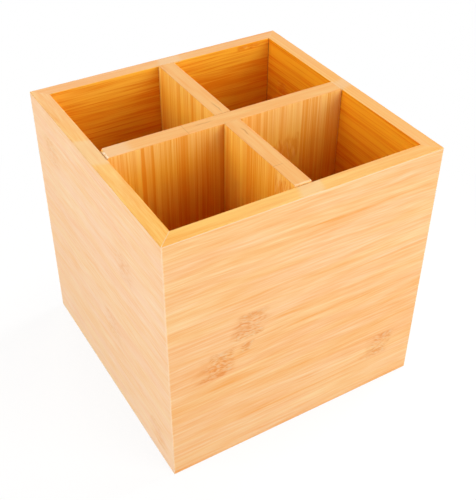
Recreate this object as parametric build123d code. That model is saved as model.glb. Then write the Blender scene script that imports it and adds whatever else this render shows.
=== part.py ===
"""Square bamboo cutlery holder: a mitred box with a grooved-in base and a drop-in cross of two dividers.

The frame is in millimetres with +Z up. The origin is the middle of the underside, and the front wall faces -Y.
The crosswise divider is lapped over the lengthwise one, and both stand loose on the base, so that the cross
lifts straight up out of the box.
"""

import os

from build123d import *

# Box, outside sizes
box_width = 150.0
box_depth = 150.0
box_height = 148.2
wall_thickness = 8.0
arris_radius = 0.4  # easing of the outside edges
rim_easing = 0.3  # easing of the inner edges of the rim

# Base panel, let into a groove that runs round the inside of the walls
base_thickness = 5.0
base_recess = 6.0  # from the surface that the box stands on up to the panel's underside
groove_depth = 3.6
groove_end_gap = 0.3  # room in the groove for the panel to swell, at each side
groove_top_gap = 0.2  # room above the panel
base_chamfer = 0.6  # lead-in on the panel's lower edges

# Dividers
divider_thickness = 9.0
divider_rise = 0.8  # how far the dividers stand above the rim
divider_end_gap = 0.3  # between a divider's end and the wall
divider_easing = 0.3  # easing of a divider's top edges
lap_side_gap = 0.15  # each side of a divider in the other's slot
lap_seat_gap = 0.3  # between the two slots' floors
lap_share = 0.5  # share of the divider's height that the lower divider keeps at the crossing

# Sizes that follow from those above
inner_width = box_width - 2 * wall_thickness
inner_depth = box_depth - 2 * wall_thickness
base_top = base_recess + base_thickness
divider_top = box_height + divider_rise
divider_height = divider_top - base_top
lap_level = base_top + lap_share * divider_height
slot_width = divider_thickness + 2 * lap_side_gap


def block(length, breadth, low, high):
    """A rectangular block centred on the Z axis, from one height to another."""
    return Pos(0, 0, low) * extrude(Rectangle(length, breadth), high - low)


def wall_ring():
    """The four walls before they are parted at the mitres: eased edges, and the groove for the base."""
    outside = block(box_width, box_depth, 0, box_height)
    outside = fillet(outside.edges(), arris_radius)
    hollow = block(inner_width, inner_depth, 0, box_height)
    groove = block(
        inner_width + 2 * groove_depth,
        inner_depth + 2 * groove_depth,
        base_recess,
        base_top + groove_top_gap,
    )
    ring = outside - hollow - groove
    rim_face = ring.faces().sort_by(Axis.Z)[-1]
    return fillet(rim_face.inner_wires()[0].edges(), rim_easing)


def mitre_wedge(span, reach):
    """The space that holds the front wall of a box of that span, cut at 45 degrees through its two corners."""
    spare = wall_thickness / 4
    outer_x = span / 2 + spare
    outer_y = -reach / 2 - spare
    run = wall_thickness + 2 * spare
    plan = Polygon(
        (-outer_x, outer_y),
        (outer_x, outer_y),
        (outer_x - run, outer_y + run),
        (-outer_x + run, outer_y + run),
        align=None,
    )
    return extrude(plan, box_height)


def walls():
    """The four mitred walls, by name."""
    ring = wall_ring()
    along_x = mitre_wedge(box_width, box_depth)
    along_y = mitre_wedge(box_depth, box_width)
    wedges = {
        "front_wall": along_x,
        "right_wall": Rot(0, 0, 90) * along_y,
        "back_wall": Rot(0, 0, 180) * along_x,
        "left_wall": Rot(0, 0, 270) * along_y,
    }
    return {name: ring & wedge for name, wedge in wedges.items()}


def base_panel():
    """The bottom board, which floats in the walls' groove and rests on the groove's lower side."""
    reach = 2 * (groove_depth - groove_end_gap)
    panel = block(inner_width + reach, inner_depth + reach, base_recess, base_top)
    return chamfer(panel.faces().sort_by(Axis.Z)[0].edges(), base_chamfer)


def divider(span):
    """A divider along X with eased top edges, before its slot is cut."""
    panel = block(span - 2 * divider_end_gap, divider_thickness, base_top, divider_top)
    return fillet(panel.faces().sort_by(Axis.Z)[-1].edges(), divider_easing)


def lengthwise_divider():
    """The lower divider, from front to back, slotted from above."""
    slot = block(slot_width, divider_thickness, lap_level, divider_top)
    return Rot(0, 0, 90) * (divider(inner_depth) - slot)


def crosswise_divider():
    """The upper divider, from left to right, slotted from below."""
    slot = block(slot_width, divider_thickness, base_top, lap_level + lap_seat_gap)
    return divider(inner_width) - slot


def main():
    pieces = walls()
    pieces["base_panel"] = base_panel()
    pieces["lengthwise_divider"] = lengthwise_divider()
    pieces["crosswise_divider"] = crosswise_divider()
    os.makedirs("parts", exist_ok=True)
    for name, piece in pieces.items():
        export_step(piece, f"parts/{name}.step")


main()
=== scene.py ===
"""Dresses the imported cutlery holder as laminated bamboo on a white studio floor.

The file is laid out as a Blender add-on and is run as a script. Lengths are in metres, colours are linear.
Each board is modelled afresh in the place of its solid. Its grain is a solid pattern on Object coordinates,
so strips, fibres and knuckles run on from one face of a board to the next.
"""

import math
from dataclasses import dataclass

import bmesh
import bpy
from mathutils import Color, Matrix, Vector, noise


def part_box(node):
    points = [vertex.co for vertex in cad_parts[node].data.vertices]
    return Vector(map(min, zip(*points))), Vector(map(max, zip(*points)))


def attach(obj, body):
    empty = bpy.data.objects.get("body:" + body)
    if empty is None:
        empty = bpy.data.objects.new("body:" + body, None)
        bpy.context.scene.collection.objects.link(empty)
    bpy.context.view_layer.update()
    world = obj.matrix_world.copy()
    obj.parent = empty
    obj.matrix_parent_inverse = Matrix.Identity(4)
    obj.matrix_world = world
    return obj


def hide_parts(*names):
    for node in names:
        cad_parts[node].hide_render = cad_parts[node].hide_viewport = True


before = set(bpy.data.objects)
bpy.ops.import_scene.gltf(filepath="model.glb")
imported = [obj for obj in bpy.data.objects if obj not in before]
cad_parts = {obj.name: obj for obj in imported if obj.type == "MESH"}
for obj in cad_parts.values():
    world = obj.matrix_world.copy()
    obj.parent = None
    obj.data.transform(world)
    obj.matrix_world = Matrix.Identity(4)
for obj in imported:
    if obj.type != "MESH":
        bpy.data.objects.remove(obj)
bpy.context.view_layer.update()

bl_info = {
    "name": "Bamboo Cutlery Holder",
    "version": (1, 0, 0),
    "blender": (4, 5, 0),
    "location": "View3D > Sidebar > Cutlery Holder",
    "description": "Models the boards of a bamboo cutlery holder around its frame, and a white floor",
    "category": "Object",
}

MM = 0.001
X, Y, Z = 0, 1, 2
WHITE = (1.0, 1.0, 1.0, 1.0)

# Sizes read off the frame
front_low, front_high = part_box("front_wall")
base_low, base_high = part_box("base_panel")
cross_low, cross_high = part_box("crosswise_divider")
half_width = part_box("right_wall")[1].x
half_depth = -front_low.y
wall_height = front_high.z
wall_thickness = front_high.y - front_low.y
divider_thickness = cross_high.y - cross_low.y
divider_half_length = cross_high.x
divider_top = cross_high.z
divider_foot = cross_low.z

# Clearances of the frame's joints
GROOVE_END_GAP = 0.3 * MM
GROOVE_TOP_GAP = 0.2 * MM
LAP_SIDE_GAP = 0.15 * MM
LAP_SEAT_GAP = 0.3 * MM

# Turn of each wall from the front one, in degrees
WALL_TURNS = {"front_wall": 0, "right_wall": 90, "back_wall": 180, "left_wall": 270}

# Mesh: arc steps in degrees, and a divider's edge loops, counted from its ends and its top
CORNER_ARC = (0, 15, 30)
END_LOOPS = (0.25 * MM, 0.5 * MM, 0.8 * MM, 1.2 * MM, 1.8 * MM)
TOP_LOOPS = (0.3 * MM, 0.6 * MM, 1.0 * MM, 1.5 * MM, 2.2 * MM, 4.0 * MM)
THICKNESS_LOOP_STEP = 0.6 * MM
ARRIS_SEGMENTS, EASING_SEGMENTS = 4, 3
SLICE_TOLERANCE = 1e-7
SHARP_ANGLE = math.radians(40)

# Raggedness along an edge: coarse and fine waves per metre, the fine ones' share and their noise layer
ARRIS_WAVES = {"waves": (160, 520), "fine_share": 0.6, "layer": 3}
BREAK_WAVES = {"waves": (420, 1300), "fine_share": 0.7, "layer": 5}
WORN_SHARE = 0.9  # how much of an arris's rounding is worn
BREAK_LEAST, BREAK_MEAN, BREAK_SPREAD = 0.08, 0.3, 1.1  # shares of the end break
BREAK_STEEPNESS = 1.5  # drop of a broken corner for each unit of its run

# Studio
SENSOR_WIDTH = 36  # millimetres
CLIP_START = 0.01
FLOOR_HALF_SIZE = 6
FLOOR_BOUNCE = (0.35, 0.35, 0.35, 1.0)  # colour of the floor for the light that it throws back
SHADOW_REACH = (0.26, 0.12)  # how far from the middle the floor's shading is gone, and where it is whole


def number_setting(name, description, default, **more):
    """A number that a user can change."""
    return bpy.props.FloatProperty(name=name, description=description, default=default, **more)


def length_setting(name, description, default, least, most):
    """A length that a user can change, with its numbers in millimetres."""
    limits = {"min": least * MM, "max": most * MM}
    return number_setting(name, description, default * MM, precision=5, unit="LENGTH", **limits)


def angle_setting(name, description, degrees):
    """An angle that a user can change."""
    return number_setting(name, description, math.radians(degrees), subtype="ANGLE")


def colour_setting(name, description, default):
    """A colour that a user can change."""
    return bpy.props.FloatVectorProperty(
        name=name, description=description, default=default, subtype="COLOR", size=3, min=0, max=1,
    )


class HolderSizes(bpy.types.PropertyGroup):
    """Easings, wear and edge loops of the boards."""

    arris_radius: length_setting("Arris radius", "Rounding of the box's outer edges", 0.3, 0.1, 3)
    rim_easing: length_setting("Rim easing", "Rounding of the rim's inner edge", 0.25, 0.1, 2)
    divider_easing: length_setting("Divider easing", "Rounding of a divider's top edges", 0.3, 0.1, 2)
    base_chamfer: length_setting("Base chamfer", "Lead-in on the base panel's lower edges", 0.6, 0.1, 2)
    arris_wear: length_setting("Arris wear", "How deep the sanding has dipped into an edge", 0.1, 0, 1)
    end_break: length_setting("End break", "How far fibres have broken off a divider's ends", 0.5, 0, 2)
    station_step: length_setting("Station step", "Distance between a board's edge loops", 1.5, 0.5, 20)


class BambooColours(bpy.types.PropertyGroup):
    """Base colours of the bamboo, linear."""

    front: colour_setting("Outer face", "Sanded outer face of the walls", (0.90, 0.53, 0.252))
    # The pale outer face is partly the left board's own tone and partly a painted sheen.
    side: colour_setting("Pale outer face", "Outer face of the paler left wall", (0.89, 0.60, 0.373))
    rim: colour_setting("Rim", "Upper edge of the walls", (0.858, 0.48, 0.128))
    pale_rim: colour_setting("Pale rim", "Upper edge of the walls where it is paler", (0.83, 0.49, 0.212))
    # The rosy rim is partly the wood's pinker tone and partly painted shade on the back and right walls'
    # rims.
    rosy_shaded_rim: colour_setting("Rosy rim", "Upper edge of the walls where it is pinker", (0.79, 0.41, 0.195))
    # Painted light and shade: inside and divider are the darker, more saturated colours of the inner faces
    # deep down; upper and gold are painted lighter near the top.
    inside: colour_setting("Inside", "Walls' inner faces deep down and the base's top", (0.92, 0.38, 0.018))
    divider: colour_setting("Divider face", "Oiled faces of the dividers deep down", (0.92, 0.43, 0.037))
    upper: colour_setting("Upper inside", "Inner faces and dividers near the top", (0.88, 0.505, 0.155))
    # Gold is painted light: the inner faces near the top, and a divider's face at the end whose compartment
    # is lit more.
    lit_gold: colour_setting("Gold", "Inner faces and dividers where the wood is paler", (0.97, 0.53, 0.056))
    end_grain: colour_setting("End grain", "Upper edge of the dividers", (0.81, 0.435, 0.158))
    bare: colour_setting("Bare wood", "Pale patches, flecks and the mitres' lines", (0.80, 0.585, 0.365))
    oiled_fleck: colour_setting("Oiled fleck", "Pale flecks in oiled faces' knuckles", (0.96, 0.62, 0.18))
    # Fresh wood is the torn fibres' colour, and also a painted highlight along the arris between the rim
    # and the outer face.
    fresh_and_highlight: colour_setting("Fresh wood", "Worn arrises and torn fibres", (0.93, 0.74, 0.52))
    # The glue colour marks the dividers' seams, and also the dark line in the walls' inner corners, which
    # is partly glue and partly painted shade.
    glue_and_shade: colour_setting("Glue line", "Seams of the dividers' tops and inner corners", (0.36, 0.15, 0.045))


class StudioSettings(bpy.types.PropertyGroup):
    """Camera, light and floor."""

    camera_place: bpy.props.FloatVectorProperty(
        name="Camera place", description="Where the camera stands",
        subtype="XYZ", unit="LENGTH", size=3, default=(-0.19025, -0.32392, 0.36577),
    )
    azimuth: angle_setting("Azimuth", "Direction that the camera looks from, 0 being the front", -31.34)
    elevation: angle_setting("Elevation", "Angle of the camera above the horizon", 38.72)
    roll: angle_setting("Roll", "Turn of the camera about its line of sight", 0.67)
    focal_length: number_setting("Focal length", "Lens in mm on a 36 mm sensor", 62.31, min=10, max=300)
    side_power: number_setting("Side power", "Large soft lamp at the left", 15.9, min=0, unit="POWER")
    front_power: number_setting("Front power", "Large soft lamp in front", 16.1, min=0, unit="POWER")
    right_power: number_setting("Right power", "Lamp up at the right", 29.2, min=0, unit="POWER")
    back_power: number_setting("Back power", "Lamp up at the back", 14.7, min=0, unit="POWER")
    ambient: number_setting("Ambient", "Strength of the even light from all round", 0.12, min=0, max=2)
    shadow_share: number_setting(
        "Shadow share", "How much of the floor's shading shows against its white", 0.14,
        min=0, max=1, subtype="FACTOR",
    )


@dataclass
class Board:
    """One bamboo board: its axes, its strips, and the marks that are on them."""

    node: str
    body: str
    slot: str
    along: int  # axis of the grain
    across: int  # axis that the strips are laid side by side on
    through: int  # axis of the board's thickness
    seed: float
    strip_width: float = 18.2 * MM
    strip_start: float = 0.0  # a seam between two strips, on the across axis
    outward: int = 0  # the way that a wall's outer face looks, on the through axis
    fibre_length: float = 1.0  # length of the streaks, as a share of the front wall's
    fibre_width: float = 1.0  # and their width
    skew: float = 0.05  # how far the grain of a strip may stray from the along axis
    knuckles: tuple = ()  # (place along, place across, size)
    knuckle_show: float = 1.0  # how plain the stains of the knuckles are
    fleck_show: float = 0.45  # how plain the pale flecks in the knuckles are
    rim_knuckles: bool = False  # whether the knuckles run on over a wall's rim
    veins: tuple = ()  # (place across, from, to, half width, strength)
    contrast: float = 0.85  # how plain the fibres are, on a wall's outer face or all over another board
    patch: tuple = ()  # paler stretch of a wall's rim or a divider's top: (from, to)
    patch_lean: float = 0.0  # how far the patch's ends lean off square, as a slope
    arris_drop: float = 0.5 * MM  # how far the rim's colour comes down over the outer edge
    arris_highlight_show: float = 0.3  # how plain the painted highlight is along the arris between the rim and the outer face
    mitre_show: tuple = (0.25, 0.25)  # how plain the mitre's glue line is at each end of the rim
    pale_sheened_face: bool = False  # whether a wall's outer face has the paler colour, which is partly the board's own tone and partly a painted sheen
    inner_shade: tuple = (1.0, 1.0, 1.0)  # painted shade: a darker tint of a wall's inner face, where less light falls on it
    rosy_shaded: bool = False  # whether the paler colour of a wall's rim is the rosy one, which is darker and pinker: partly the wood's tone and partly painted shade on the back and right rims
    pale: tuple = (0.0, 0.0)  # how far a rim goes to its paler colour, the rosy one being partly painted shade, and how far a divider's face goes to gold, a painted light, at each end
    painted_top_light: tuple = (0.28, 0.28)  # painted light: how far the inner faces go to gold and the upper colour near the top, at each end
    painted_light_depth: tuple = (20 * MM, 20 * MM)  # how far down the upper colour, a painted light, reaches, at each end
    turn: float = 70 * MM  # how far from the middle a divider's tone, with its painted light, has gone over to that of its end
    dashes: tuple = ()  # dark seams on a divider's top: (from, to, aside, strength)
    joint: tuple = ()  # butt joint across a divider's top: (place, from, to)
    torn: float = 0.0  # how much more is torn off the far corner of a divider's left end
    bare_ends: tuple = (0.35, 0.35)  # how bare the broken fibres of a divider's ends are


def in_mm(lengths, *rows):
    """Rows of numbers of which the first few, this many, are given in millimetres."""
    return tuple((*(number * MM for number in row[:lengths]), *row[lengths:]) for row in rows)


walls = [
    Board(
        "front_wall", "box", "wall_bamboo", X, Z, Y, seed=3.0, outward=-1, strip_start=2.2 * MM,
        knuckles=in_mm(
            2, (-30.5, 84, 1.0), (-48, 66, 1.1), (52.5, 29.5, 0.9), (-34, 71.5, 0.4), (42.5, 148.2, 0.3),
        ),
        rim_knuckles=True,
        veins=in_mm(
            4, (129.4, 10, 70, 0.9, 0.8), (93.6, 12, 74, 1.0, 1.0), (111.2, -74, -5, 0.7, 0.5),
            (72.6, -5, 70, 1.1, 0.6), (47.6, 52, 75, 0.4, 1.2), (20.2, -40, 72, 0.8, 0.7),
        ),
        patch=(-5 * MM, 7.5 * MM), patch_lean=-0.35, arris_drop=0.75 * MM, arris_highlight_show=0.5,
        mitre_show=(0.65, 0.25), pale=(0.0, 0.6),
    ),
    Board(
        "right_wall", "box", "wall_bamboo", Y, Z, X, seed=17.0, outward=1, strip_start=1.6 * MM,
        fibre_length=3.0, skew=0.01,
        knuckles=in_mm(2, (50, 121.5, 0.6), (-30, 48, 1.0), (12, 83, 0.8)),
        patch=(-3.5 * MM, 5.4 * MM), patch_lean=0.2, inner_shade=(0.95, 0.86, 0.6), rosy_shaded=True, pale=(0.45, 0.5),
        painted_top_light=(0.02, 0.0),
    ),
    Board(
        "back_wall", "box", "wall_bamboo", X, Z, Y, seed=29.0, outward=1, strip_start=9.0 * MM,
        fibre_length=1.5,
        knuckles=in_mm(2, (49.5, 148.4, 0.4), (57, 149, 0.45), (-20, 60, 1.0), (34, 25, 1.0)),
        patch=(-2.5 * MM, 10.8 * MM), patch_lean=0.2, rosy_shaded=True, pale=(0.7, 0.8), painted_top_light=(0.12, 0.05),
    ),
    Board(
        "left_wall", "box", "wall_bamboo", Y, Z, X, seed=44.0, outward=-1, strip_start=6.0 * MM,
        fibre_length=0.6,
        knuckles=in_mm(2, (53.7, 123, 1.0), (-31.5, 105, 1.0), (-8.5, 51, 1.0), (-57, 16, 1.0)),
        knuckle_show=0.4, fleck_show=0.18, contrast=0.45, patch=(-6.7 * MM, 16.7 * MM), patch_lean=0.3,
        arris_highlight_show=0.0, mitre_show=(0.65, 0.25), pale_sheened_face=True, pale=(0.0, 0.85),
    ),
]
base = Board(
    "base_panel", "box", "base_bamboo", X, Y, Z, seed=53.0, strip_start=4.0 * MM,
    knuckles=in_mm(2, (-36, 40, 1.0), (25, -30, 1.0)), contrast=1.2,
)
crosswise = Board(
    "crosswise_divider", "crosswise", "divider_bamboo", Z, X, Y, seed=67.0, strip_start=-49 * MM,
    fibre_length=4.0, fibre_width=0.65, skew=0.01,
    knuckles=in_mm(2, (121, 33, 1.0), (60, -40, 1.0)), knuckle_show=1.5, fleck_show=0.25,
    veins=in_mm(
        4, (-49, 0, 150, 1.3, 1.2), (-43.8, 0, 150, 0.7, 1.0), (-34.7, 0, 150, 0.6, 0.9),
        (-26.8, 0, 150, 0.8, 0.9), (-20.3, 0, 150, 0.5, 0.5), (-14, 0, 150, 0.6, 0.9),
        (16.8, 0, 150, 0.5, 0.4), (25, 0, 150, 0.5, 0.4),
    ),
    contrast=1.4, patch=(-70 * MM, -54 * MM), pale=(0.0, 1.0), turn=15 * MM, painted_top_light=(0.75, 0.95),
    painted_light_depth=(22 * MM, 50 * MM),
    dashes=in_mm(3, (-20, -7, 0.6, 0.5), (8, 18, 0.2, 0.2)),
    joint=(-24 * MM, -4.6 * MM, 4.6 * MM), torn=1.3 * MM, bare_ends=(0.85, 0.35),
)
lengthwise = Board(
    "lengthwise_divider", "lengthwise", "divider_bamboo", Z, Y, X, seed=79.0,
    strip_width=17.2 * MM, strip_start=-50.2 * MM, fibre_length=4.0, fibre_width=0.65, skew=0.01,
    knuckles=in_mm(2, (140, -58, 1.2), (70, 25, 1.0)), knuckle_show=1.6, fleck_show=0.6,
    veins=in_mm(4, (-50, 0, 150, 0.8, 0.8), (-30, 0, 150, 1.6, 0.5)),
    contrast=1.6, pale=(0.25, 0.35), painted_top_light=(0.4, 0.4),
    dashes=in_mm(3, (4.5, 18.5, 0.4, 0.7), (-21, -11, 0.5, 0.7)),
    joint=(-48.9 * MM, -4.6 * MM, 0.5 * MM),
)


@dataclass
class Cloud:
    """A noise that is drawn out along the grain."""

    length: float
    width: float
    detail: float = 1.0
    offset: float = 0.0  # keeps it apart from the other noises
    slant: float = 0.0  # angle to the grain


# Streaks, and each one's share in the fibres' tone
FINE = Cloud(15 * MM, 0.5 * MM, 2.0)
MIDDLE = Cloud(34 * MM, 1.25 * MM, 2.0, 3.3)
BROAD = Cloud(75 * MM, 4.5 * MM, 1.0, 6.6)
FINE_SHARE, MIDDLE_SHARE, BROAD_SHARE = 1.1, 1.6, 0.9
STRIP_SHARE, SEAM_SHARE, VEIN_SHARE = 0.22, 0.22, 0.4
MEAN_TONE = 0.42

# Strips: salts of their random numbers, spread of their shifts, and the seams between them
TONE_SALT, SHIFT_SALT, SKEW_SALT = 0.11, 0.37, 0.73
SHIFT_SPREAD = 40
STRIP_SWAY = Cloud(45 * MM, 9 * MM, 1.0, 1.7)
SWAY_REACH = 60 * MM  # times the skew
HUE = Cloud(60 * MM, 8 * MM, 1.0, 7.9)
HUE_RISE = (0.3, 0.7)  # a rise says between which levels of a noise a mask comes up
SEAM_GAPS = Cloud(40 * MM, 60 * MM, 1.0, 9.1)
SEAM_RISE = (0.42, 0.62)
SEAM_EDGE = (0.455, 0.5)  # from the strip's middle, as shares of its width

# Veins, the darkest fibres
VEIN_SWAY = Cloud(30 * MM, 12 * MM, 1.0, 5.1)
VEIN_WANDER = 2.2 * MM
VEIN_FADE = 9 * MM
VEIN_CORE = 0.1  # share of the half width that is darkest

# Knuckles of size 1. Each reach says how far from the middle a mask is nought, and where it is whole
HEART_REACH = (9 * MM, 5 * MM)
STAIN_REACH = (12 * MM, 2 * MM)
STAIN_SHIFT = 2 * MM  # how far the stain lies off the heart
SIDE_REACH = (0.55, 0.4)  # across the strip, as shares of its width
STRIP_REACH = (0.5, 0.38)
KNUCKLE_EDGE = Cloud(6 * MM, 4 * MM, 1.0, 8.3)
KNUCKLE_WANDER = 9 * MM
KNUCKLE_LEAN = 0.25  # slope of a knuckle across its strip
KNUCKLE_SWAY = Cloud(7 * MM, 4 * MM, 1.0, 2.7)
KNUCKLE_BEND = 4.5 * MM  # how far fibres bend round a knuckle
FLECKS = Cloud(2.8 * MM, 0.85 * MM, 2.0, 4.4, math.radians(-4))
DARK_FLECK_RISE, DARK_FLECK_SHARE = (0.5, 0.62), 0.72
PALE_FLECK_RISE = (0.47, 0.37)
SMUDGES = Cloud(8 * MM, 1.9 * MM, 1.0, 2.2)
SMUDGE_RISE, SMUDGE_SHARE = (0.42, 0.66), 0.75
EVEN_STAIN_SHARE = 0.25
OILED_STAINS = 1.7  # how much plainer a knuckle's stains are on a wall's inner face
OILED_FLECKS = 0.33  # and its pale flecks

# What the grain multiplies a base colour by
PALE_FIBRE = (1.02, 1.16, 1.30, 1.0)
DARK_FIBRE = (0.965, 0.70, 0.40, 1.0)
OILED_FIBRE = (0.90, 0.66, 0.28, 1.0)  # dark fibres of oiled faces
PINK_FIBRE = (1.0, 0.99, 1.03, 1.0)
GOLD_FIBRE = (1.0, 1.005, 0.95, 1.0)
STAIN = (0.90, 0.71, 0.54, 1.0)

# Surface
RELIEF_STRENGTH = 0.35
RELIEF_HEIGHT = 0.04 * MM
LEAST_ROUGHNESS, ROUGHNESS_SPAN = 0.44, 0.14
SPECULAR_LEVEL = 0.06

# Marks of the walls. Each pair of lengths says where a mask is nought, and where it is whole
INNER_FACE = (0.35 * MM, 0.05 * MM)  # from the inner face into the wall
INNER_CONTRAST, RIM_CONTRAST = 2.0, 0.65
RIM_EDGE = Cloud(5 * MM, 30 * MM, 2.0, 0.6)
RIM_RAGGEDNESS = 1.3 * MM
RIM_SOFTNESS = 0.25 * MM
PATCH_RAGGEDNESS = 2  # times the rim's
PATCH_SOFTNESS = 1.7 * MM
PATCH_SHOW = 0.38
# Painted highlight along the arris between the rim and the outer face
ARRIS_HIGHLIGHT_SOFTNESS = 0.3 * MM
ARRIS_HIGHLIGHT_TOP = (0.15 * MM, 0.35 * MM)
ARRIS_HIGHLIGHT_FACE = (0.5 * MM, 0.2 * MM)
CORNER_LINE, CORNER_SHOW = (0.7 * MM, 0.3 * MM), 0.4
MITRE_LINE = (0.32 * MM, 0.15 * MM)
# Dark line in the inner corners, partly glue and partly painted shade
SHADED_CREASE_LINE, SHADED_CREASE_SHOW = (0.5 * MM, 0.15 * MM), 0.55
PAINTED_LIGHT_REACH = 40 * MM  # how far down the inner faces are painted lighter, going to gold
HALVES = 1 * MM  # how far from the middle a mark goes over from one half's value to the other's

# Marks of the dividers
TOP_EDGE = (0.5 * MM, 0.15 * MM)
PLIES = ((16 * MM, 0.8 * MM, 0.0, 0.5), (30 * MM, 2 * MM, 3.7, 1.0))  # length, width, offset, share
PLY_DETAIL = 2.0
SEAM_SWAY = Cloud(30 * MM, 6 * MM, 1.0, 1.9)
SEAM_WANDER = 1.6 * MM
SEAM_LINE = (0.55 * MM, 0.15 * MM)
SEAM_CORE = 0.3  # share of a dark seam's length that is darkest
JOINT_LINE, JOINT_END, JOINT_STRENGTH = (0.3 * MM, 0.1 * MM), 0.2 * MM, 0.5
SEAM_SHOW = 0.6
END_PATCH_SOFTNESS, END_PATCH_SHOW = 3 * MM, 0.4
END_EDGE = Cloud(1.2 * MM, 1.2 * MM, 2.0, 0.4)
END_RAGGEDNESS = 1.6 * MM
BROKEN_SLOPE = 0.7
BROKEN_LINE = (0.75 * MM, 0.4 * MM)
CHIP_LINE, CHIP_SHOW = (0.35 * MM, 0.15 * MM), 0.6


class Signal:
    """A shader socket that takes part in arithmetic: each operation on it adds a Math node."""

    def __init__(self, tree, socket=None):
        self.tree = tree
        self.socket = socket

    def node(self, kind, settings=None, inputs=None, output=0):
        """Adds a node, applies its settings, sets or links its inputs, and returns one of its outputs."""
        made = self.tree.nodes.new(kind)
        for name, value in (settings or {}).items():
            setattr(made, name, value)
        for key, value in (inputs or {}).items():
            if isinstance(value, Signal):
                self.tree.links.new(value.socket, made.inputs[key])
            elif isinstance(value, Color):
                made.inputs[key].default_value = (*value, 1.0)
            else:
                made.inputs[key].default_value = value
        return Signal(self.tree, made.outputs[output])

    def sibling(self, output):
        """Another output of the node that this signal comes from."""
        return Signal(self.tree, self.socket.node.outputs[output])

    def math(self, operation, *others):
        """A Math node with this signal as its first value."""
        return self.node("ShaderNodeMath", {"operation": operation}, dict(enumerate((self, *others))))

    def step(self, start, end):
        """Rises smoothly from 0 at start to 1 at end, or falls if end is the lower one."""
        return self.node(
            "ShaderNodeMapRange", {"interpolation_type": "SMOOTHSTEP"}, {0: self, 1: start, 2: end},
        )

    def window(self, start, end, softness):
        """1 between two places, fading out at both."""
        return self.step(start - softness, start + softness) * self.step(end + softness, end - softness)

    def blend(self, colour, other):
        """A colour that goes to the other one as this signal goes from 0 to 1."""
        return self.node("ShaderNodeMix", {"data_type": "RGBA"}, {0: self, 6: colour, 7: other}, output=2)

    def show(self, kind):
        """Links this shader to a new output node of a kind."""
        self.tree.links.new(self.socket, self.tree.nodes.new(kind).inputs["Surface"])

    def __add__(self, other):
        return self.math("ADD", other)

    __radd__ = __add__

    def __sub__(self, other):
        return self.math("SUBTRACT", other)

    def __rsub__(self, other):
        return self.node("ShaderNodeMath", {"operation": "SUBTRACT"}, {0: other, 1: self})

    def __mul__(self, other):
        return self.math("MULTIPLY", other)

    __rmul__ = __mul__

    def __truediv__(self, other):
        return self.math("DIVIDE", other)

    def __abs__(self):
        return self.math("ABSOLUTE")


def fade(signal, reach, ends):
    """Goes from the first of two values to the second as the signal goes from -reach to reach."""
    low, high = ends
    return signal.step(-reach, reach) * (high - low) + low


def scaled(pair, factor):
    """Two lengths times a factor."""
    return [length * factor for length in pair]


def new_material(name):
    """An empty node material."""
    material = bpy.data.materials.new(name)
    material.use_nodes = True
    material.node_tree.nodes.clear()
    return material


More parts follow.
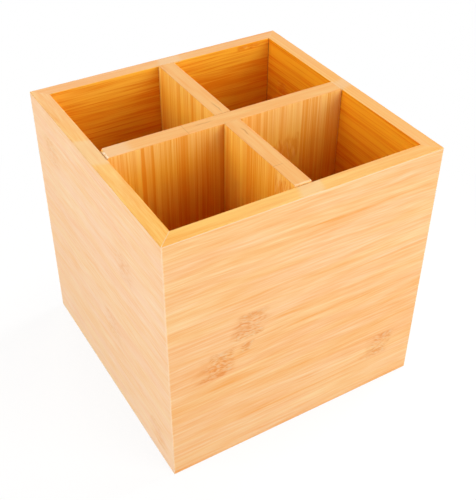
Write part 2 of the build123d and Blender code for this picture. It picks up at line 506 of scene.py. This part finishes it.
class Grain:
    """The solid pattern of one board: fibres, strips, seams and knuckles, as signals of its material."""

    def __init__(self, board):
        self.board = board
        self.material = new_material(board.node + "_bamboo")
        self.canvas = Signal(self.material.node_tree)
        place = self.canvas.node("ShaderNodeTexCoord", output="Object")
        first = self.canvas.node("ShaderNodeSeparateXYZ", inputs={0: place})
        self.axes = [first, first.sibling(1), first.sibling(2)]
        self.along = self.axes[board.along]
        self.across = self.axes[board.across]
        self.through = self.axes[board.through]
        strips = (self.across - board.strip_start) / board.strip_width
        self.strip = strips.math("FLOOR")
        self.strip_place = strips.math("FRACT")
        self.strip_tone = self.chance(TONE_SALT)
        self.strip_shift = self.chance(SHIFT_SALT) * SHIFT_SPREAD + board.seed
        self.bend = self.along * ((self.chance(SKEW_SALT) - 0.5) * board.skew)

    def chance(self, salt):
        """An even random number from 0 to 1 for each strip."""
        number = self.strip + (self.board.seed + salt)
        return self.canvas.node("ShaderNodeTexWhiteNoise", {"noise_dimensions": "1D"}, {"W": number})

    def tint(self, factor, colour, multiplier):
        """The colour times the multiplier, as far as the factor says."""
        settings = {"data_type": "RGBA", "blend_type": "MULTIPLY"}
        return self.canvas.node("ShaderNodeMix", settings, {0: factor, 6: colour, 7: multiplier}, output=2)

    def cloud(self, kind, longer=1.0, wider=1.0):
        """Noise about 0.5 of a kind, with its blotches this much longer and wider."""
        sideways = self.across + self.bend
        forward = self.along
        if kind.slant:
            forward, sideways = (
                self.along * math.cos(kind.slant) + sideways * math.sin(kind.slant),
                sideways * math.cos(kind.slant) - self.along * math.sin(kind.slant),
            )
        width = kind.width * wider
        point = self.canvas.node("ShaderNodeCombineXYZ", inputs={
            0: forward / (kind.length * longer) + self.strip_shift + kind.offset,
            1: sideways / width + kind.offset,
            2: self.through / width,
        })
        return self.noise(point, kind.detail)

    def plies(self, length, width, offset):
        """Noise about 0.5 drawn out across the strips, as the plies show on a board's end grain."""
        point = self.canvas.node("ShaderNodeCombineXYZ", inputs={
            0: self.across / length + (self.board.seed + offset),
            1: self.through / width,
            2: offset,
        })
        return self.noise(point, PLY_DETAIL)

    def noise(self, point, detail):
        """Noise about 0.5 at a point."""
        inputs = {"Vector": point, "Scale": 1.0, "Detail": detail}
        return self.canvas.node("ShaderNodeTexNoise", inputs=inputs)

    def knuckle_masks(self):
        """1 in the heart of each knuckle, and 1 in the wider stain round it, both within its strip."""
        board = self.board
        wander = (self.cloud(KNUCKLE_EDGE) - 0.5) * KNUCKLE_WANDER
        lean = (self.strip_place - 0.5) * (KNUCKLE_LEAN * board.strip_width)
        heart = stain = 0
        for place, side, size in board.knuckles:
            strip = math.floor((side - board.strip_start) / board.strip_width)
            in_strip = (self.strip - strip).math("COMPARE", 0.0, 0.5)
            distance = self.along - place + wander * size - lean
            beside = abs(self.across - side).step(*scaled(SIDE_REACH, size * board.strip_width)) * in_strip
            heart = abs(distance).step(*scaled(HEART_REACH, size)) * beside + heart
            stain = abs(distance + STAIN_SHIFT * size).step(*scaled(STAIN_REACH, size)) * beside + stain
        within = abs(self.strip_place - 0.5).step(*STRIP_REACH)
        return heart * within, stain * within

    def vein_mask(self):
        """1 along the darkest fibres."""
        wander = (self.cloud(VEIN_SWAY) - 0.5) * VEIN_WANDER
        total = 0
        for side, start, end, half, strength in self.board.veins:
            line = abs(self.across - side + wander).step(half, VEIN_CORE * half)
            total = line * self.along.window(start, end, VEIN_FADE) * strength + total
        return total

    def sway(self, heart):
        """Bends the fibres round the knuckles' hearts, and lets each strip's grain wander."""
        bend = KNUCKLE_BEND / max(1.0, self.board.fibre_length)
        self.bend = self.bend + (self.cloud(KNUCKLE_SWAY) - 0.5) * heart * bend
        self.bend = self.bend + (self.cloud(STRIP_SWAY) - 0.5) * (SWAY_REACH * self.board.skew)


@dataclass
class Finish:
    """What a board's fibres are painted with: numbers, colours, or signals that vary over the board."""

    colour: object
    dark_fibre: object  # multiplier of the darkest fibres
    fleck: object  # colour of the pale flecks in the knuckles
    contrast: object  # how plain the fibres are
    stain_show: object  # how plain the dark stains of the knuckles are
    fleck_show: object  # how plain their pale flecks are
    strip_show: object = 1.0  # how far the strips differ in tone
    knuckle_show: object = 1.0  # 0 where the knuckles don't show


def fibre_tone(grain, fine, finish):
    """How dark the fibres are, from 0 to 1."""
    board = grain.board
    middle = grain.cloud(MIDDLE, board.fibre_length, board.fibre_width)
    broad = grain.cloud(BROAD, board.fibre_length, board.fibre_width)
    seam = abs(grain.strip_place - 0.5).step(*SEAM_EDGE) * grain.cloud(SEAM_GAPS).step(*SEAM_RISE)
    tone = (fine - 0.5) * FINE_SHARE + (middle - 0.5) * MIDDLE_SHARE + (broad - 0.5) * BROAD_SHARE
    tone = tone + (grain.strip_tone - 0.5) * STRIP_SHARE * finish.strip_show
    tone = tone + seam * SEAM_SHARE + grain.vein_mask() * VEIN_SHARE
    return (tone * finish.contrast + MEAN_TONE).math("MAXIMUM", 0.0).math("MINIMUM", 1.0)


def paint_fibres(grain, finish):
    """The finish's colour with the grain worked into it, the fibres' tone and their relief."""
    board = grain.board
    heart, stain = (mask * finish.knuckle_show for mask in grain.knuckle_masks())
    grain.sway(heart)
    fine = grain.cloud(FINE, board.fibre_length, board.fibre_width)
    tone = fibre_tone(grain, fine, finish)
    hue = grain.cloud(HUE).step(*HUE_RISE)
    colour = grain.tint(1.0, finish.colour, tone.blend(PALE_FIBRE, finish.dark_fibre))
    colour = grain.tint(1.0, colour, hue.blend(PINK_FIBRE, GOLD_FIBRE))
    flecks = grain.cloud(FLECKS, math.sqrt(board.fibre_length))
    dark = flecks.step(*DARK_FLECK_RISE) * heart * DARK_FLECK_SHARE
    dark = dark + grain.cloud(SMUDGES).step(*SMUDGE_RISE) * stain * SMUDGE_SHARE + stain * EVEN_STAIN_SHARE
    colour = grain.tint((dark * finish.stain_show).math("MINIMUM", 1.0), colour, STAIN)
    pale = flecks.step(*PALE_FLECK_RISE) * heart * finish.fleck_show
    return pale.blend(colour, finish.fleck), tone, fine


def oiled_finish(board, colour, colours):
    """The finish of a board that is oiled all over."""
    fleck = colours.oiled_fleck
    return Finish(colour, OILED_FIBRE, fleck, board.contrast, board.knuckle_show, board.fleck_show)


def finished(grain, colour, tone, relief):
    """The board's material: the colour, a satin roughness that follows the fibres, and their relief."""
    bump = grain.canvas.node("ShaderNodeBump", inputs={
        "Strength": RELIEF_STRENGTH, "Distance": RELIEF_HEIGHT, "Height": relief,
    })
    surface = grain.canvas.node("ShaderNodeBsdfPrincipled", inputs={
        "Base Color": colour, "Roughness": tone * ROUGHNESS_SPAN + LEAST_ROUGHNESS, "Normal": bump,
        "Specular IOR Level": SPECULAR_LEVEL,
    })
    surface.show("ShaderNodeOutputMaterial")
    return grain.material


def paint_light_upwards(board, below_top, level, reach, deep, colours):
    """An inner face's deep colour with painted light: it goes to gold towards the top and to the upper
    colour right under it, so the face is painted lighter near the top and darker deep down.
    """
    rise = below_top.step(PAINTED_LIGHT_REACH, 0.0) * fade(level, reach, board.painted_top_light)
    lit_gold = rise.blend(deep, colours.lit_gold)
    lit_band = rise * below_top.step(fade(level, reach, board.painted_light_depth), 0.0)
    return lit_band.blend(lit_gold, colours.upper)


def wall_reach(board):
    """Half the box's size along a wall, and half its size square to the wall."""
    if board.through == Y:
        return half_width, half_depth
    return half_depth, half_width


class WallPlaces:
    """Where a point of a wall lies, as signals."""

    def __init__(self, grain):
        board = grain.board
        self.half_run, half_reach = wall_reach(board)
        self.to_end = self.half_run - abs(grain.along)
        self.depth = half_reach - grain.through * board.outward
        self.drop = wall_height - grain.axes[Z]
        self.ragged = (grain.cloud(RIM_EDGE) - 0.5) * RIM_RAGGEDNESS
        start, end = INNER_FACE
        self.inside = self.depth.step(wall_thickness - start, wall_thickness - end)
        self.rim = (self.drop + self.ragged).step(board.arris_drop, board.arris_drop - RIM_SOFTNESS)


def wall_colour(grain, places, colours):
    """A wall's base colour: its outer face, its rim and its oiled inner face, which has painted light
    towards its top.
    """
    board = grain.board
    # The left wall's paler outer face is partly its own tone and partly a painted sheen.
    outer = colours.side if board.pale_sheened_face else colours.front
    # On the back and right walls the rim goes to the rosy colour, partly the wood's tone and partly painted
    # shade.
    paler = colours.rosy_shaded_rim if board.rosy_shaded else colours.pale_rim
    rim = fade(grain.along, places.half_run, board.pale).blend(colours.rim, paler)
    outside = places.rim.blend(outer, rim)
    # Painted shade: the inner face's deep colour is darkened by the wall's tint, which only the right wall
    # has.
    deep = Color([level * share for level, share in zip(colours.inside, board.inner_shade)])
    # Painted light: the inner face goes lighter towards the top.
    oiled = paint_light_upwards(board, places.drop, grain.along, places.half_run, deep, colours)
    return places.inside.blend(outside, oiled)


def wall_finish(grain, places, colours):
    """A wall's finish, in which the fibres and the knuckles are plainer on the oiled inner face."""
    board = grain.board
    inside, rim = places.inside, places.rim
    outer = board.contrast
    off_rim = 1.0 - rim
    return Finish(
        colour=wall_colour(grain, places, colours),
        dark_fibre=inside.blend(DARK_FIBRE, OILED_FIBRE),
        fleck=inside.blend(colours.bare, colours.oiled_fleck),
        contrast=inside * (INNER_CONTRAST - outer) + outer + rim * (RIM_CONTRAST - outer),
        stain_show=(inside * (OILED_STAINS - 1) + 1) * board.knuckle_show,
        fleck_show=(inside * (OILED_FLECKS - 1) + 1) * board.fleck_show,
        strip_show=off_rim,
        knuckle_show=1.0 if board.rim_knuckles else off_rim,
    )


def mark_wall(grain, places, colour, colours):
    """Adds the rim's pale patch, a painted highlight along the rim's outer edge, the worn corners, the
    mitres' glue lines, and the dark inner corners, partly glue and partly painted shade.
    """
    board = grain.board
    lean = (places.depth - wall_thickness / 2) * board.patch_lean
    place = grain.along + lean + places.ragged * PATCH_RAGGEDNESS
    patch = place.window(*board.patch, PATCH_SOFTNESS) * places.rim
    colour = (patch * PATCH_SHOW).blend(colour, colours.bare)
    drop = places.drop
    edge = drop.step(board.arris_drop + ARRIS_HIGHLIGHT_SOFTNESS, board.arris_drop) * drop.step(*ARRIS_HIGHLIGHT_TOP)
    # Painted highlight: the arris between the rim and the outer face goes to the fresh colour.
    arris_highlight = edge * places.depth.step(*ARRIS_HIGHLIGHT_FACE) * board.arris_highlight_show
    corner = places.to_end.step(*CORNER_LINE) * CORNER_SHOW
    colour = arris_highlight.math("MAXIMUM", corner).blend(colour, colours.fresh_and_highlight)
    mitre = (places.to_end - places.depth).step(*MITRE_LINE) * places.rim
    mitre = mitre * fade(grain.along, HALVES, board.mitre_show)
    colour = mitre.blend(colour, colours.bare)
    # Partly glue and partly painted shade: a dark line down the inner corners where the walls meet.
    shaded_crease = (places.to_end - wall_thickness).step(*SHADED_CREASE_LINE) * places.inside * SHADED_CREASE_SHOW
    return shaded_crease.blend(colour, colours.glue_and_shade)


def wall_bamboo(board, colours):
    """A wall's bamboo, sanded outside and oiled inside, with its marks."""
    grain = Grain(board)
    places = WallPlaces(grain)
    colour, tone, relief = paint_fibres(grain, wall_finish(grain, places, colours))
    return finished(grain, mark_wall(grain, places, colour, colours), tone, relief)


def end_grain_colour(grain, colours):
    """The end grain along a divider's top, in the tones of its plies."""
    tone = MEAN_TONE
    for length, width, offset, share in PLIES:
        tone = (grain.plies(length, width, offset) - 0.5) * share + tone
    return grain.tint(1.0, colours.end_grain, tone.blend(PALE_FIBRE, DARK_FIBRE))


def top_seams(grain):
    """1 along the dark seams and the butt joint of a divider's top."""
    board = grain.board
    seams = 0
    wander = (grain.cloud(SEAM_SWAY) - 0.5) * SEAM_WANDER
    for start, end, aside, strength in board.dashes:
        line = abs(grain.through - aside + wander).step(*SEAM_LINE)
        middle, reach = (start + end) / 2, (end - start) / 2
        seams = line * abs(grain.across - middle).step(reach, SEAM_CORE * reach) * strength + seams
    place, low, high = board.joint
    joint = abs(grain.across - place).step(*JOINT_LINE) * grain.through.step(low - JOINT_END, low)
    seams = joint * grain.through.step(high + JOINT_END, high) * JOINT_STRENGTH + seams
    return seams.math("MINIMUM", 1.0)


def bare_fibres(grain, below_top):
    """How bare the broken fibres at a divider's ends are."""
    to_end = divider_half_length - abs(grain.across)
    ragged = (grain.cloud(END_EDGE) - 0.5) * END_RAGGEDNESS
    broken = (to_end + below_top * BROKEN_SLOPE + ragged).step(*BROKEN_LINE)
    chips = (to_end + ragged).step(*CHIP_LINE) * CHIP_SHOW
    return broken.math("MAXIMUM", chips) * fade(grain.across, HALVES, grain.board.bare_ends)


def divider_bamboo(board, colours):
    """A divider's bamboo: oiled faces with painted light towards the top and at one end, end grain with
    dark seams along the top, and bare broken ends.
    """
    grain = Grain(board)
    below_top = divider_top - grain.along
    top = below_top.step(*TOP_EDGE)
    # Painted light: a divider's face goes to gold at the end whose compartment is lit more, and lighter
    # towards the top, staying darker deep down.
    deep = fade(grain.across, board.turn, board.pale).blend(colours.divider, colours.lit_gold)
    face = paint_light_upwards(board, below_top, grain.across, board.turn, deep, colours)
    colour, tone, relief = paint_fibres(grain, oiled_finish(board, face, colours))
    colour = top.blend(colour, end_grain_colour(grain, colours))
    colour = (top_seams(grain) * top * SEAM_SHOW).blend(colour, colours.glue_and_shade)
    if board.patch:
        patch = grain.across.window(*board.patch, END_PATCH_SOFTNESS) * top
        colour = (patch * END_PATCH_SHOW).blend(colour, colours.bare)
    colour = bare_fibres(grain, below_top).blend(colour, colours.fresh_and_highlight)
    return finished(grain, colour, tone, relief)


def base_bamboo(board, colours):
    """The base panel's bamboo, pale below and oiled above."""
    grain = Grain(board)
    height = grain.through.step(base_low.z, base_high.z)
    zone = height.blend(colours.front, colours.inside)
    colour, tone, relief = paint_fibres(grain, oiled_finish(board, zone, colours))
    return finished(grain, colour, tone, relief)


def spread(start, end, step):
    """Evenly spaced places between two ends, without the ends."""
    count = max(1, round((end - start) / step))
    return [start + (end - start) * k / count for k in range(1, count)]


def slice_across(bm, axis, places):
    """Adds an edge loop where a plane across the axis meets the mesh, at each place."""
    normal = Vector((0, 0, 0))
    normal[axis] = 1
    for place in places:
        everything = bm.verts[:] + bm.edges[:] + bm.faces[:]
        bmesh.ops.bisect_plane(
            bm, geom=everything, dist=SLICE_TOLERANCE, plane_co=normal * place, plane_no=normal,
        )


def round_edges(bm, edges, radius, segments):
    """Rounds edges with an even arc, or chamfers them where the arc has one segment."""
    bmesh.ops.bevel(
        bm, geom=edges, offset=radius, offset_type="OFFSET", segments=segments, profile=0.5,
        affect="EDGES", material=-1, clamp_overlap=True,
    )


def prism(bm, outline, shift):
    """A closed block: the outline's points as a face, extruded by moving each new point."""
    section = bm.faces.new([bm.verts.new(point) for point in outline])
    grown = bmesh.ops.extrude_face_region(bm, geom=[section])
    for item in grown["geom"]:
        if isinstance(item, bmesh.types.BMVert):
            item.co = shift(item.co)


def turn_about_z(bm, degrees):
    """Turns a whole mesh about the Z axis."""
    turn = Matrix.Rotation(math.radians(degrees), 3, "Z")
    bmesh.ops.rotate(bm, verts=bm.verts, cent=(0, 0, 0), matrix=turn)


def edges_where(bm, test):
    """The edges whose two ends both pass a test."""
    return [edge for edge in bm.edges if all(test(vert.co) for vert in edge.verts)]


def near(value, target):
    """Whether two lengths agree to a hundredth of a millimetre."""
    return abs(value - target) < 0.01 * MM


def ragged_line(place, seed, waves, fine_share, layer):
    """Noise about 0 along a line: coarse waves with fine ones on them."""
    coarse_waves, fine_waves = waves
    coarse = noise.noise(Vector((place * coarse_waves, seed, 0)))
    fine = noise.noise(Vector((place * fine_waves, seed, layer)))
    return coarse + fine_share * fine


def wall_mesh(board, sizes):
    """A mitred wall with its groove: the cross-section drawn on one mitre and carried over to the other."""
    half_run, half_reach = wall_reach(board)
    groove_reach = base_high.x - (half_width - wall_thickness) + GROOVE_END_GAP
    groove_back = wall_thickness - groove_reach
    groove_top = base_high.z + GROOVE_TOP_GAP
    section = [
        (0, 0), (0, wall_height), (wall_thickness, wall_height), (wall_thickness, groove_top),
        (groove_back, groove_top), (groove_back, base_low.z), (wall_thickness, base_low.z),
        (wall_thickness, 0),
    ]
    bm = bmesh.new()
    prism(
        bm,
        [(depth - half_run, depth - half_reach, height) for depth, height in section],
        lambda place: Vector((-place.x, place.y, place.z)),
    )
    for height in (0, wall_height):
        outer = edges_where(bm, lambda p: near(p.y, -half_reach) and near(p.z, height))
        round_edges(bm, outer, sizes.arris_radius, ARRIS_SEGMENTS)
    inner = edges_where(bm, lambda p: near(p.y, wall_thickness - half_reach) and near(p.z, wall_height))
    round_edges(bm, inner, sizes.rim_easing, EASING_SEGMENTS)
    radius = sizes.arris_radius
    arc = [half_run - radius + radius * math.sin(math.radians(turn)) for turn in CORNER_ARC]
    stations = spread(-arc[0], arc[0], sizes.station_step)
    slice_across(bm, X, stations + arc + [-place for place in arc])
    for vert in bm.verts:
        round_corner(vert, half_run, half_reach, radius)
        wear_arris(vert, half_reach, sizes, board.seed)
    turn_about_z(bm, WALL_TURNS[board.node])
    return bm


def round_corner(vert, half_run, half_reach, radius):
    """Moves a point of the outer face onto the rounding of the box's upright edge, up to the mitre."""
    run = half_run - abs(vert.co.x)
    depth = vert.co.y + half_reach
    at_mitre = radius * (1 - math.sqrt(0.5))
    if run < at_mitre and depth < at_mitre:
        run = depth = at_mitre
    elif run < radius:
        depth = max(depth, radius - math.sqrt(radius ** 2 - (radius - run) ** 2))
    vert.co.x = math.copysign(half_run - run, vert.co.x)
    vert.co.y = depth - half_reach


def wear_arris(vert, half_reach, sizes, seed):
    """Sinks the rounding of the rim's outer edge a little, by an amount that wanders along the edge."""
    depth = vert.co.y + half_reach
    drop = wall_height - vert.co.z
    worn = WORN_SHARE * sizes.arris_radius
    if depth < worn and drop < worn:
        sink = max(0.0, ragged_line(vert.co.x, seed, **ARRIS_WAVES)) * sizes.arris_wear
        vert.co.y += sink
        vert.co.z -= sink


def divider_outline(board):
    """A divider's side view, slotted from below in the crosswise one and from above in the other."""
    end = divider_half_length
    foot, top = divider_foot, divider_top
    slot = divider_thickness / 2 + LAP_SIDE_GAP
    middle = (foot + top) / 2
    if board is crosswise:
        lap = middle + LAP_SEAT_GAP
        return [
            (-end, foot), (-slot, foot), (-slot, lap), (slot, lap), (slot, foot), (end, foot), (end, top),
            (-end, top),
        ]
    return [
        (-end, foot), (end, foot), (end, top), (slot, top), (slot, middle), (-slot, middle), (-slot, top),
        (-end, top),
    ]


def divider_mesh(board, sizes):
    """A divider with its lap slot, eased along the top and broken away at the top corners of its ends."""
    face = -divider_thickness / 2
    bm = bmesh.new()
    outline = [(x, face, z) for x, z in divider_outline(board)]
    prism(bm, outline, lambda place: Vector((place.x, -place.y, place.z)))
    upper = edges_where(bm, lambda p: near(p.z, divider_top))
    long_edges = [edge for edge in upper if near(edge.verts[0].co.y, edge.verts[1].co.y)]
    round_edges(bm, long_edges, sizes.divider_easing, EASING_SEGMENTS)
    ends = [divider_half_length - place for place in END_LOOPS]
    stations = spread(-ends[-1], ends[-1], sizes.station_step)
    slice_across(bm, X, stations + ends + [-place for place in ends])
    slice_across(bm, Z, [divider_top - place for place in TOP_LOOPS])
    slice_across(bm, Y, spread(face, -face, THICKNESS_LOOP_STEP))
    for vert in bm.verts:
        break_end(vert, sizes, board)
    if board is lengthwise:
        turn_about_z(bm, 90)
    return bm


def break_end(vert, sizes, board):
    """Breaks the top corner of a divider's end away along a ragged line."""
    side = math.copysign(1, vert.co.x)
    run = divider_half_length - abs(vert.co.x)
    drop = divider_top - vert.co.z
    wave = ragged_line(vert.co.y, board.seed + side, **BREAK_WAVES)
    bite = sizes.end_break * max(BREAK_LEAST, BREAK_MEAN + BREAK_SPREAD * wave)
    if side < 0:
        bite += board.torn * max(0.0, vert.co.y) / (divider_thickness / 2)
    push = (bite - run - drop / BREAK_STEEPNESS) / 2
    if push > 0:
        vert.co.x -= side * push
        vert.co.z -= BREAK_STEEPNESS * push


def base_mesh(sizes):
    """The base panel, chamfered round its lower edges."""
    bm = bmesh.new()
    bmesh.ops.create_cube(bm, size=1)
    bmesh.ops.scale(bm, verts=bm.verts, vec=base_high - base_low)
    bmesh.ops.translate(bm, verts=bm.verts, vec=(base_high + base_low) / 2)
    lower = edges_where(bm, lambda p: near(p.z, base_low.z))
    round_edges(bm, lower, sizes.base_chamfer, 1)
    return bm


def add_object(context, name, bm, material):
    """Makes a mesh an object of the scene."""
    mesh = bpy.data.meshes.new(name)
    bm.to_mesh(mesh)
    bm.free()
    mesh.materials.append(material)
    made = bpy.data.objects.new(name, mesh)
    context.scene.collection.objects.link(made)
    return made


def settle_board(context, bm, board, material):
    """Makes a board's mesh an object that rides on its body in the place of its solid."""
    bmesh.ops.recalc_face_normals(bm, faces=bm.faces)
    for face in bm.faces:
        face.smooth = True
    for edge in bm.edges:
        edge.smooth = edge.is_manifold and edge.calc_face_angle() < SHARP_ANGLE
    piece = add_object(context, board.node + "_board", bm, material)
    weighted = piece.modifiers.new("Even shading", "WEIGHTED_NORMAL")
    weighted.keep_sharp = True
    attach(piece, board.body)
    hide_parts(board.node)


class HOLDER_OT_walls(bpy.types.Operator):
    """Models the four mitred walls of the box"""

    bl_idname = "holder.walls"
    bl_label = "Walls"

    def execute(self, context):
        for board in walls:
            mesh = wall_mesh(board, context.scene.holder_sizes)
            settle_board(context, mesh, board, wall_bamboo(board, context.scene.bamboo_colours))
        return {"FINISHED"}


class HOLDER_OT_base(bpy.types.Operator):
    """Models the base panel in the walls' groove"""

    bl_idname = "holder.base"
    bl_label = "Base panel"

    def execute(self, context):
        mesh = base_mesh(context.scene.holder_sizes)
        settle_board(context, mesh, base, base_bamboo(base, context.scene.bamboo_colours))
        return {"FINISHED"}


class HOLDER_OT_dividers(bpy.types.Operator):
    """Models the two lapped dividers"""

    bl_idname = "holder.dividers"
    bl_label = "Dividers"

    def execute(self, context):
        for board in (lengthwise, crosswise):
            mesh = divider_mesh(board, context.scene.holder_sizes)
            settle_board(context, mesh, board, divider_bamboo(board, context.scene.bamboo_colours))
        return {"FINISHED"}


class HOLDER_OT_stage(bpy.types.Operator):
    """Sets the camera, the soft lamps, the even light and the white floor"""

    bl_idname = "holder.stage"
    bl_label = "Studio"

    def execute(self, context):
        studio = context.scene.holder_studio
        place_camera(context, studio)
        place_lamps(context, studio)
        light_world(context, studio)
        lay_floor(context, studio)
        context.scene.view_settings.view_transform = "Standard"
        return {"FINISHED"}


def place_camera(context, studio):
    """A camera at the photographed angle."""
    turn, rise = studio.azimuth, studio.elevation
    back = Vector((math.sin(turn) * math.cos(rise), -math.cos(turn) * math.cos(rise), math.sin(rise)))
    right = Vector((0, 0, 1)).cross(back).normalized()
    up = back.cross(right)
    level = Matrix((right, up, back)).transposed()
    rolled = level @ Matrix.Rotation(studio.roll, 3, "Z")
    data = bpy.data.cameras.new("camera")
    data.lens = studio.focal_length
    data.sensor_width = SENSOR_WIDTH
    data.clip_start = CLIP_START
    camera = bpy.data.objects.new("camera", data)
    camera.matrix_world = Matrix.Translation(studio.camera_place) @ rolled.to_4x4()
    context.scene.collection.objects.link(camera)
    context.scene.camera = camera


def place_lamps(context, studio):
    """Soft lamps that face the holder."""
    aim = Vector((0, 0, wall_height / 2))
    lamps = [
        ("side_lamp", Vector((-1.25, -0.1, 0.5)), 1.0, studio.side_power),
        ("front_lamp", Vector((0.5, -1.15, 0.5)), 1.0, studio.front_power),
        ("right_lamp", Vector((1.6, 0.15, 1.45)), 0.9, studio.right_power),
        ("back_lamp", Vector((0.15, 1.8, 1.1)), 0.9, studio.back_power),
    ]
    for name, place, size, power in lamps:
        data = bpy.data.lights.new(name, "AREA")
        data.size = size
        data.energy = power
        lamp = bpy.data.objects.new(name, data)
        lamp.location = place
        lamp.rotation_euler = (aim - place).to_track_quat("-Z", "Y").to_euler()
        context.scene.collection.objects.link(lamp)


def seen_directly(canvas):
    """1 for what the camera sees, also in a gloss or through glass, and 0 for the light on things."""
    camera = canvas.node("ShaderNodeLightPath", output="Is Camera Ray")
    glossy = camera.sibling("Is Glossy Ray")
    return (camera + glossy + camera.sibling("Is Transmission Ray")).math("MINIMUM", 1.0)


def light_world(context, studio):
    """Even white light, which the camera sees as plain white."""
    world = bpy.data.worlds.new("studio")
    world.use_nodes = True
    world.node_tree.nodes.clear()
    canvas = Signal(world.node_tree)
    even = canvas.node("ShaderNodeBackground", inputs={"Color": WHITE, "Strength": studio.ambient})
    white = canvas.node("ShaderNodeBackground", inputs={"Color": WHITE, "Strength": 1.0})
    sky = canvas.node("ShaderNodeMixShader", inputs={0: seen_directly(canvas), 1: even, 2: white})
    sky.show("ShaderNodeOutputWorld")
    context.scene.world = world


def lay_floor(context, studio):
    """A wide white floor that keeps a faint shadow of the holder."""
    material = new_material("white_floor")
    canvas = Signal(material.node_tree)
    place = canvas.node("ShaderNodeTexCoord", output="Object")
    reach = canvas.node("ShaderNodeVectorMath", {"operation": "LENGTH"}, {0: place}, output="Value")
    lit = canvas.node("ShaderNodeBsdfDiffuse", inputs={"Color": WHITE})
    glow = canvas.node("ShaderNodeEmission", inputs={"Color": WHITE, "Strength": 1.0})
    bounce = canvas.node("ShaderNodeBsdfDiffuse", inputs={"Color": FLOOR_BOUNCE})
    shaded = reach.step(*SHADOW_REACH) * studio.shadow_share
    shown = canvas.node("ShaderNodeMixShader", inputs={0: shaded, 1: glow, 2: lit})
    whole = canvas.node("ShaderNodeMixShader", inputs={0: seen_directly(canvas), 1: bounce, 2: shown})
    whole.show("ShaderNodeOutputMaterial")
    bm = bmesh.new()
    bmesh.ops.create_grid(bm, x_segments=1, y_segments=1, size=FLOOR_HALF_SIZE)
    floor = add_object(context, "studio_floor", bm, material)


class HOLDER_PT_panel(bpy.types.Panel):
    """Lists the steps that make the holder, with their settings"""

    bl_label = "Cutlery Holder"
    bl_idname = "HOLDER_PT_panel"
    bl_space_type = "VIEW_3D"
    bl_region_type = "UI"
    bl_category = "Cutlery Holder"

    def draw(self, context):
        for operator in OPERATORS:
            self.layout.operator(operator.bl_idname)
        scene = context.scene
        for group in (scene.holder_sizes, scene.bamboo_colours, scene.holder_studio):
            box = self.layout.box()
            for name in group.__annotations__:
                box.prop(group, name)


OPERATORS = (HOLDER_OT_walls, HOLDER_OT_base, HOLDER_OT_dividers, HOLDER_OT_stage)
CLASSES = (HolderSizes, BambooColours, StudioSettings, *OPERATORS, HOLDER_PT_panel)


def register():
    for cls in CLASSES:
        bpy.utils.register_class(cls)
    bpy.types.Scene.holder_sizes = bpy.props.PointerProperty(type=HolderSizes)
    bpy.types.Scene.bamboo_colours = bpy.props.PointerProperty(type=BambooColours)
    bpy.types.Scene.holder_studio = bpy.props.PointerProperty(type=StudioSettings)


def unregister():
    del bpy.types.Scene.holder_studio
    del bpy.types.Scene.bamboo_colours
    del bpy.types.Scene.holder_sizes
    for cls in reversed(CLASSES):
        bpy.utils.unregister_class(cls)


def main():
    register()
    bpy.ops.holder.walls()
    bpy.ops.holder.base()
    bpy.ops.holder.dividers()
    bpy.ops.holder.stage()


if __name__ == "__main__":
    main()
